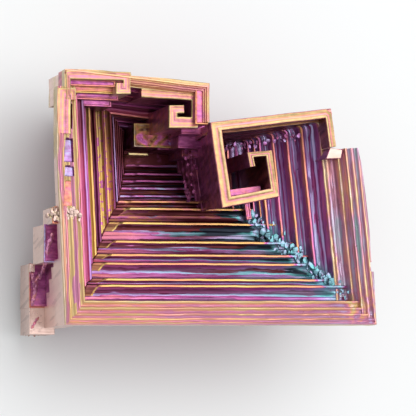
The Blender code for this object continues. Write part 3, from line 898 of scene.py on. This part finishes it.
def growTogether(base, stages, finish):
    solids = {thing.name: thing for things, _ in stages for thing in things}
    tree, source = newTree("grownTogether", {**dict.fromkeys(solids, "Object"), "Finish": "Material"})
    shape = source["Geometry"]
    for things, operation in stages:
        node = addNode(tree, "GeometryNodeMeshBoolean", operation=operation, solver="MANIFOLD")
        feed(tree, node.inputs["Mesh 1" if operation == "DIFFERENCE" else "Mesh 2"], shape)
        for thing in things:
            info = addNode(tree, "GeometryNodeObjectInfo", {"Object": source[thing.name]},
                           transform_space="ORIGINAL")
            feed(tree, node.inputs["Mesh 2"], info.outputs["Geometry"])
        shape = node.outputs["Mesh"]
    return bakeTree(base, finishTree(tree, shape, source["Finish"]), {**solids, "Finish": finish})


weather = {
    "slow": (260.0, 0.10), "fine": (1100.0, 0.035), "seed": 3.7,        # noise scale, height in mm
    "seam": (3.0, 0.8, 3.0),        # mm from the seam: where it starts, where it is full, how much rougher
    "clear": (0.3, 1.5),            # mm above the floor over which it sets in
    "sharpFrom": 32.0,              # degrees between faces that meet in a crisp edge
}


def weatherTree(w):
    tree, source = newTree("weathering", {
        "Slow Scale": w["slow"][0], "Slow Height": w["slow"][1] * mm, "Fine Scale": w["fine"][0],
        "Fine Height": w["fine"][1] * mm, "Finish": "Material"})
    place = fieldOf(tree, "GeometryNodeInputPosition")
    offsets = []
    for label in ("Slow", "Fine"):
        inputs = {"Vector": place, "Scale": source[label + " Scale"], "Detail": 1.0, "W": w["seed"]}
        noise = fieldOf(tree, "ShaderNodeTexNoise", inputs, "Color", noise_dimensions="4D")
        centred = vectorOf(tree, "SUBTRACT", noise, (0.5, 0.5, 0.5))
        offsets.append(scaleOf(tree, centred, Field(tree, source[label + " Height"]) * 2.0))
    axes = addNode(tree, "ShaderNodeSeparateXYZ", {"Vector": place})
    x, y, z = (Field(tree, socket) for socket in axes.outputs)
    # rougher along the seam between the two hoppers
    start, end, extra = w["seam"]
    rougher = (x + y - seamSum * mm).math("ABSOLUTE").ranged(start * mm, end * mm, 0.0, extra) * (y < 0.0)
    moved = vectorOf(tree, "ADD", vectorOf(tree, "ADD", *offsets), scaleOf(tree, offsets[1], rougher))
    low, high = w["clear"]
    moved = scaleOf(tree, moved, z.ranged(low * mm, high * mm))     # the resting face stays flat
    shape = addNode(tree, "GeometryNodeSetPosition", {"Geometry": source["Geometry"], "Offset": moved})
    return finishTree(tree, shape.outputs[0], source["Finish"])


# The finish: oxide film on metal, with painted shade. film runs through the colours of a thickening oxide;
# dark is how far a face is mixed towards the dark colours, partly tarnish and partly painted shade; step and
# bands lay the colours out over a terrace.

oxide = {
    # film, colour
    "colours": ((0.00, (0.82, 0.60, 0.53)), (0.10, (0.56, 0.46, 0.20)), (0.20, (0.65, 0.41, 0.12)),
                (0.29, (0.66, 0.28, 0.14)), (0.37, (0.66, 0.20, 0.23)), (0.45, (0.54, 0.15, 0.38)),
                (0.53, (0.31, 0.055, 0.20)), (0.60, (0.42, 0.20, 0.48)), (0.68, (0.40, 0.36, 0.58)),
                (0.78, (0.24, 0.42, 0.52)), (0.88, (0.13, 0.42, 0.43)), (1.00, (0.03, 0.20, 0.20))),
    # the two dark colours below are what dark mixes towards, for tarnish and for painted shade alike
    "paleMetal": (0.60, 0.46, 0.40, 1.0), "tarnishAndShade": (0.075, 0.006, 0.010, 1.0),
    "blueTarnishAndShade": (0.006, 0.010, 0.02, 1.0), "blueFrom": 0.7, "metallic": 0.7,
    "roughness": (0.22, 0.42),
    "speckle": 2600.0, "drift": 420.0, "wander": 900.0, "lines": 5200.0,        # scales of the noises
}
# where a colour or a painted shade sets in, and where it is full, mm
zones = {
    "seam": (4.5, 0.5), "besideSeam": (2.0, 1.1),       # from the seam
    "tealAcross": (-10.0, 5.0), "rightCorner": (20.6, 22.2),        # along X
    "frontCorner": (-11.5, -14.0), "farBackShade": (5.0, 12.0),      # along Y
    "tealDown": (17.0, 11.0), "lowerShade": (15.0, 9.5), "deep": (10.5, 3.0),        # in height
}
# step fraction, film, dark, for each kind of flight; dark is painted shade, on the risers and in the dip of
# the treads
terraceTones = {
    "front": ((0.0, 0.50, 0.75), (0.20, 0.50, 0.6), (0.23, 0.41, 0.0), (0.36, 0.40, 0.0), (0.39, 0.46, 0.1),
              (0.42, 0.64, 0.0), (0.49, 0.66, 0.05), (0.52, 0.51, 0.65), (0.68, 0.50, 0.75),
              (0.71, 0.44, 0.15), (0.80, 0.41, 0.0), (0.83, 0.36, 0.0), (0.86, 0.21, 0.0),
              (1.0, 0.22, 0.0)),
    "right": ((0.0, 0.30, 0.2), (0.03, 0.42, 0.25), (0.18, 0.46, 0.35), (0.22, 0.60, 0.0), (0.38, 0.66, 0.0),
              (0.44, 0.52, 0.2), (0.50, 0.50, 0.1), (0.56, 0.67, 0.0), (0.72, 0.60, 0.0), (0.80, 0.44, 0.0),
              (0.84, 0.37, 0.0), (1.0, 0.30, 0.0)),
    "left": ((0.0, 0.52, 0.6), (0.20, 0.50, 0.5), (0.26, 0.62, 0.2), (0.38, 0.46, 0.1), (0.45, 0.53, 0.5),
             (0.52, 0.40, 0.1), (0.60, 0.28, 0.0), (0.70, 0.20, 0.0), (0.86, 0.20, 0.0), (1.0, 0.18, 0.0)),
    "back": ((0.0, 0.48, 0.7), (0.22, 0.46, 0.7), (0.30, 0.44, 0.4), (0.50, 0.41, 0.0), (0.76, 0.40, 0.0),
             (0.84, 0.38, 0.0), (1.0, 0.33, 0.0)),
    "turnedBack": ((0.0, 0.48, 0.85), (0.22, 0.48, 0.7), (0.34, 0.42, 0.2), (0.60, 0.40, 0.1),
                   (0.80, 0.36, 0.0), (0.92, 0.40, 0.0), (1.0, 0.38, 0.05)),
}
# the left flight is coloured terrace by terrace: terrace number, film of its tread, dark (painted shade),
# film of its lip
leftTerraces = ((0, 0.06, 0.16, 0.30), (1, 0.40, 0.16, 0.40), (2, 0.17, 0.12, 0.18), (3, 0.46, 0.3, 0.42),
                (4, 0.17, 0.0, 0.18), (5, 0.19, 0.0, 0.40), (6, 0.41, 0.0, 0.60), (7, 0.53, 0.9, 0.50),
                (8, 0.18, 0.0, 0.22), (9, 0.50, 0.6, 0.53), (10, 0.19, 0.0, 0.53), (11, 0.25, 0.0, 0.53),
                (12, 0.50, 0.8, 0.63), (13, 0.50, 0.9, 0.48))


def rampOf(tree, factor, stops, interpolation="LINEAR"):
    node = addNode(tree, "ShaderNodeValToRGB", {"Fac": factor})
    node.color_ramp.interpolation = interpolation
    elements = node.color_ramp.elements
    while len(elements) > 1:
        elements.remove(elements[-1])
    for index, (place, colour) in enumerate(stops):
        element = elements[0] if index == 0 else elements.new(place)
        element.position = place
        element.color = tuple(colour) + (1.0,)
    return Field(tree, node.outputs["Color"])


def splitOf(tree, colour):
    node = addNode(tree, "ShaderNodeSeparateColor", {"Color": colour})
    return [Field(tree, socket) for socket in node.outputs]


def noiseOf(f, vector, scale, detail=2.0, distortion=0.0):      # centred on zero
    inputs = {"Vector": vector, "Scale": scale, "Detail": detail, "Distortion": distortion}
    return fieldOf(f.tree, "ShaderNodeTexNoise", inputs, "Fac") - 0.5


def drawnOut(f, share):     # a noise on this place is drawn out along the terraces
    alongX = vectorOf(f.tree, "MULTIPLY", f.place, (share, 1.0, 1.0))
    return alongX.towards(vectorOf(f.tree, "MULTIPLY", f.place, (1.0, share, 1.0)), f.alongY, "Vector")


def zoned(field, name, full=1.0):
    start, end = zones[name]
    return field.ranged(start * mm, end * mm, 0.0, full)


def readFace(tree):
    f = SimpleNamespace(tree=tree)
    f.place = fieldOf(tree, "ShaderNodeTexCoord", output="Object")
    for name in ("tone", "step", "bands", "pale", "along", "film", "dark"):
        setattr(f, name, fieldOf(tree, "ShaderNodeAttribute", output="Fac", attribute_name=name))
    axes = addNode(tree, "ShaderNodeSeparateXYZ", {"Vector": f.place})
    f.x, f.y, f.z = (Field(tree, socket) for socket in axes.outputs)
    f.alongY = (f.tone > 0.5) * (f.tone < 2.5)      # the right and left flights run along Y
    f.onRim = f.bands * f.pale
    f.speckle = noiseOf(f, drawnOut(f, 0.25), oxide["speckle"])
    f.drift = noiseOf(f, drawnOut(f, 0.25), oxide["drift"], 3.0)
    f.wander = noiseOf(f, drawnOut(f, 0.1), oxide["wander"])
    # colours wander and taper along a tread, and hold still along its lip
    f.fraction = f.step.math("FRACT")
    offLip = (0.84 - f.fraction).math("MULTIPLY", 5.0, clamp=True)
    warped = f.fraction + f.speckle * (f.pale * 0.3 + 0.12) + f.wander * offLip * 0.55
    f.warped = (warped * (f.onRim * 0.17 + 1.0)).math("MINIMUM", 1.0).math("MAXIMUM", 0.0)
    f.onLip = f.bands * (f.warped > 0.82)
    return f


def findZones(f):
    frontTone = f.tone < 0.5
    f.isFront = f.bands * frontTone
    f.isRight = f.tone.near(toneOf["right"], 0.1)
    f.isLeft = f.tone.near(toneOf["left"], 0.1)
    f.offLips = (1.0 - f.onLip) * (f.bands - f.onRim)
    # facets where the front flight starts, and their edge
    reach = f.warped * 1.5 + 0.75 - f.along
    inFacet = f.isFront * (f.warped > 0.45) * (f.step < 12.6) * (1.0 - f.pale)
    f.isFacet = inFacet * (reach > 0.0)
    f.isEdge = inFacet * reach.near(0.0, 0.14)
    # how near the seam between the hoppers is
    f.offSeam = (f.x + f.y - seamSum * mm).math("ABSOLUTE")
    f.seam = zoned(f.drift * (3.0 * mm) + f.offSeam, "seam", 0.2)
    # where the front flight runs down to it: a teal film, with painted shade on it
    f.isTeal = zoned(f.x, "tealAcross") * zoned(f.z, "tealDown") * f.offLips * frontTone
    # patches low on the front flight
    isLow = f.isFront * (f.step.near(12.1, 1.0) + f.step.near(14.7, 0.9))
    f.patches = isLow * (f.drift > -0.02)
    # painted shade: darker deeper in the pit
    f.deep = zoned(f.z, "deep", 0.4)


def paintFlights(f):
    laid = None
    for number, stops in enumerate(terraceTones.values()):
        ramp = rampOf(f.tree, f.warped, [(place, (film, dark, 0.0)) for place, film, dark in stops])
        laid = laid.towards(ramp, f.tone > number - 0.5, "Color") if number else ramp
    laidFilm, laidDark, _ = splitOf(f.tree, laid)
    chance = fieldOf(f.tree, "ShaderNodeTexWhiteNoise", {"W": f.step.math("FLOOR")}, noise_dimensions="1D")
    # a leg's own shift of colour shows on the treads, and hardly on the lips
    film = f.film * (f.onLip * -0.5 + 1.0) + f.bands * (laidFilm + (chance - 0.5) * 0.06)
    # brown facets with a gold edge
    film = film.towards(f.drift * 0.3 + 0.27, f.isFacet).towards(0.2, f.isEdge)
    film = film + f.drift * (f.onLip * 0.4 + 0.22)
    # the right rim is greyer than the front one and blotched, the left rim pinker
    greyer = (f.isRight * 0.13 + f.isLeft * 0.09) * f.onRim * (1.0 - f.onLip)
    film = film + greyer + f.isRight * f.onRim * (f.drift * 1.3 + 0.05)
    # thicker oxide along the seam, teal where the front flight runs down to it
    inPit = f.bands * (1.0 - f.onLip) * (f.y < 5.0 * mm)
    film = film + inPit * f.seam + f.speckle * 0.05 + f.isTeal * 0.16
    # a gold edge on the back rim, and rust coloured patches
    isBackEdge = f.tone.near(toneOf["back"], 0.1) * (f.step < 1.3) * f.bands
    film = film.towards(f.drift * 0.6 + 0.33, isBackEdge).towards(f.speckle * 0.6 + 0.33, f.patches * 0.9)
    # paler on the rim, bluish on the deepest lips
    film = film + f.onRim * (laidFilm * -0.45 + 0.10)
    f.film = film + f.onLip * (f.step > 13.5) * ((f.tone > 2.5) * -0.2 + 0.28)
    darkenFlights(f, laidDark)


def darkenFlights(f, laidDark):
    dark = (f.dark + f.bands * laidDark) * (f.patches * -0.6 + 1.0)
    # painted shade where the front flight runs down to the seam
    dark = dark + f.isTeal * (f.wander * 4.0 + 0.55)
    dark = dark.towards(f.drift * 1.2 + 0.62, f.isFacet).towards(0.0, f.isEdge)
    # painted shade in the gap where the front flight starts
    isGapShade = (f.along < 0.3) * f.isFront * (1.0 - f.pale)
    # painted shade on the front treads lower down, and deeper in the pit
    lowerShade = zoned(f.z, "lowerShade", 0.4)
    dark = dark + isGapShade * 0.8 + f.deep + f.isFront * f.offLips * lowerShade
    dark = dark * (f.onRim * -0.95 + 1.0)       # the terraces under the rim are hardly darkened
    # painted shade on the deeper terraces of the turned back flight, under the band
    f.dark = dark + (f.tone > 3.5) * (f.step > 5.0) * f.bands * 0.6


def paintLeft(f):
    # whole terraces of one colour, blotched on the rim and dotted with pink on the gold ones
    strayed = f.onRim * f.drift * 3.0 + f.step
    stops = [(number * 0.05, values) for number, *values in leftTerraces]
    film, dark, lipFilm = splitOf(f.tree, rampOf(f.tree, strayed * 0.05, stops, "CONSTANT"))
    dots = (noiseOf(f, f.place, 1500.0, 1.0) > 0.10) * f.step.near(11.0, 1.0)
    film = (film + f.speckle * 0.12).towards(0.46, dots).towards(lipFilm, f.onLip) + f.drift * 0.1
    # painted shade on the risers, the deepest terraces, far back and deep in the pit
    riser = (f.fraction < 0.16) * (f.step > 5.0)
    darkLip = f.onLip * lipFilm.near(0.53, 0.02)
    farBackShade = zoned(f.y, "farBackShade", 0.6) * (f.step > 5.9)
    dark = dark * (1.0 - f.onLip) + riser * 0.5 + darkLip * 0.55 + (f.step > 13.6) * 0.45 + farBackShade + f.deep
    onLeft = f.isLeft * f.bands
    f.film = f.film.towards(film, onLeft)
    f.dark = f.dark.towards(dark, onLeft)


def paintSeam(f):
    # wrinkled teal and silver right beside the seam
    beside = zoned(f.wander * (5.0 * mm) + f.offSeam, "besideSeam")
    beside = beside * (f.y < -0.5 * mm) * (f.bands - f.onRim)
    wrinkles = noiseOf(f, f.place, 1500.0, 3.0)
    f.film = f.film.towards(wrinkles * 0.6 + 0.76, beside)
    f.dark = f.dark.towards(wrinkles * -2.2 + 0.12, beside)


def paintSwirls(f):
    # rust, olive and magenta
    swirls = noiseOf(f, f.place, 330.0, 3.0, 1.6) * (f.tone > 5.5)
    f.film = f.film + swirls * 1.3
    f.dark = f.dark - swirls * 3.0


def paintCorner(f):
    # blotches where the front and right rims run into each other
    isCorner = zoned(f.x, "rightCorner") * zoned(f.y, "frontCorner") * f.bands
    f.film = f.film.towards(noiseOf(f, f.place, 700.0, 3.0) * 1.6 + 0.40, isCorner)


def paintWalls(f):
    # plain walls are streaked from top to bottom, pale ones scored with thin slanting lines
    slanted = fieldOf(f.tree, "ShaderNodeCombineXYZ", {"X": f.x, "Y": f.z * -0.22 + f.y, "Z": f.z * 0.12})
    isScored = (f.bands < 0.5) * f.pale * (f.z < 20.8 * mm)
    scores = isScored * (noiseOf(f, slanted, 900.0, 4.0) > 0.10)
    plain = 1.0 - f.bands.math("MAXIMUM", f.pale)
    f.film = f.film + plain * f.speckle * 0.2
    f.dark = f.dark + scores * 0.3 + noiseOf(f, slanted, 1300.0, 3.0) * plain * 1.6
    f.dark = f.dark.math("ADD", f.drift * 0.25, clamp=True)


def oxideFilm(s):
    material = bpy.data.materials.new("oxideFilm")
    material.use_nodes = True
    tree = material.node_tree
    tree.nodes.clear()
    f = readFace(tree)
    findZones(f)
    for paint in (paintFlights, paintLeft, paintSeam, paintSwirls, paintCorner, paintWalls):
        paint(f)
    colour = rampOf(tree, f.film, s["colours"])
    # dark mixes the colour towards the dark colours, for tarnish and for painted shade
    tarnishAndShade = mixOf(tree, f.film > s["blueFrom"], s["tarnishAndShade"], s["blueTarnishAndShade"], "Color")
    colour = colour.towards(tarnishAndShade, f.dark, "Color")
    paleShare = f.isRight * 0.12 + (f.isLeft * -0.06 + 0.28)
    colour = colour.towards(s["paleMetal"], f.pale * paleShare, "Color")
    smooth, worn = s["roughness"]
    wear = noiseOf(f, f.place, s["wander"]) * (worn - smooth) + 0.5 * (smooth + worn)
    lines = noiseOf(f, drawnOut(f, 0.06), s["lines"], 1.0)
    inputs = {"Height": lines, "Strength": 0.35, "Distance": 0.06 * mm}
    bump = fieldOf(tree, "ShaderNodeBump", inputs, "Normal")
    shader = addNode(tree, "ShaderNodeBsdfPrincipled", {"Base Color": colour, "Metallic": s["metallic"],
                                                        "Roughness": wear, "Normal": bump})
    addNode(tree, "ShaderNodeOutputMaterial", {"Surface": shader.outputs["BSDF"]})
    arrange(tree)
    return material


finish = oxideFilm(oxide)
print("finish mixed")
rng = random.Random(growthSeed)
mainBody = growHopper("mainHopper", hopper, rng)
print("main hopper", len(mainBody.data.polygons))
adds = [growHopper("turnedHopper", turnedHopper, rng), growSpiral(spiral, rng)] + growFloors(floors)
print("turned hopper and spiral box", len(adds))
lates = growHooks(hooks, rng) + growBlocks(blocks, rng) + growCrumbs(crumbLines)
print("hooks, blocks and crumbs", len(lates))
cuts = growCuts(rng)
trimBodies = growTrims()
print("cutters", len(cuts) + len(trimBodies))
crystal = growTogether(mainBody, [(adds, "UNION"), (cuts, "DIFFERENCE"), (lates, "UNION"),
                                  (trimBodies, "DIFFERENCE")], finish)
print("grown together", len(crystal.data.polygons))
bakeTree(crystal, weatherTree(weather), {"Finish": finish})
crystal.name = "bismuthCrystal"
faceOutwards(crystal)
crystal.data.shade_smooth()
crystal.data.set_sharp_from_angle(angle=math.radians(weather["sharpFrom"]))
print("weathered")
bpy.context.scene.collection.objects.link(crystal)
workshop.objects.unlink(crystal)
for thing in list(workshop.objects):
    bpy.data.objects.remove(thing)
bpy.data.collections.remove(workshop)
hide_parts("crystal")
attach(crystal, "root")
makeFloor(studio)
makeSky(studio)
makeSoftBox(studio)
